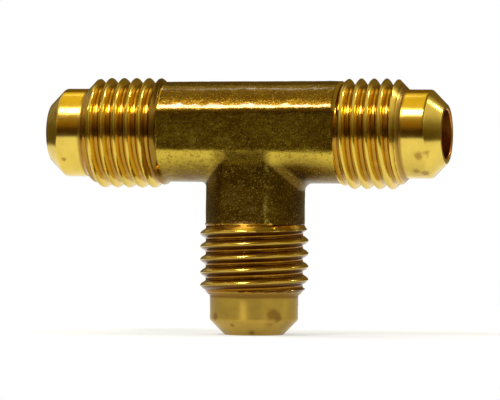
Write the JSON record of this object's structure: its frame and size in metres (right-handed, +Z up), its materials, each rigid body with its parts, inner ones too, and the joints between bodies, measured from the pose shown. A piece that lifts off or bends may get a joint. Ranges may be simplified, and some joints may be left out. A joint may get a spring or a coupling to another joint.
{
  "type": "flare fitting",
  "caption": "Forged brass flare union tee with threaded 45 degree flare ends on a straight run and a side branch, joined by a T-shaped bore.",
  "frame": {"origin": "crossing of the run axis and the branch axis", "axes": "+X along the run towards its shorter end, -Z along the branch, +Z up, Y square to the plane of the tee and to its two forged flats"},
  "size_m": [0.0397, 0.0108, 0.0251],
  "materials": {
    "brass": "as-forged body, bright machined ends"
  },
  "bodies": {
    "root": {"tee_body": "brass"}
  },
  "joints": []
}
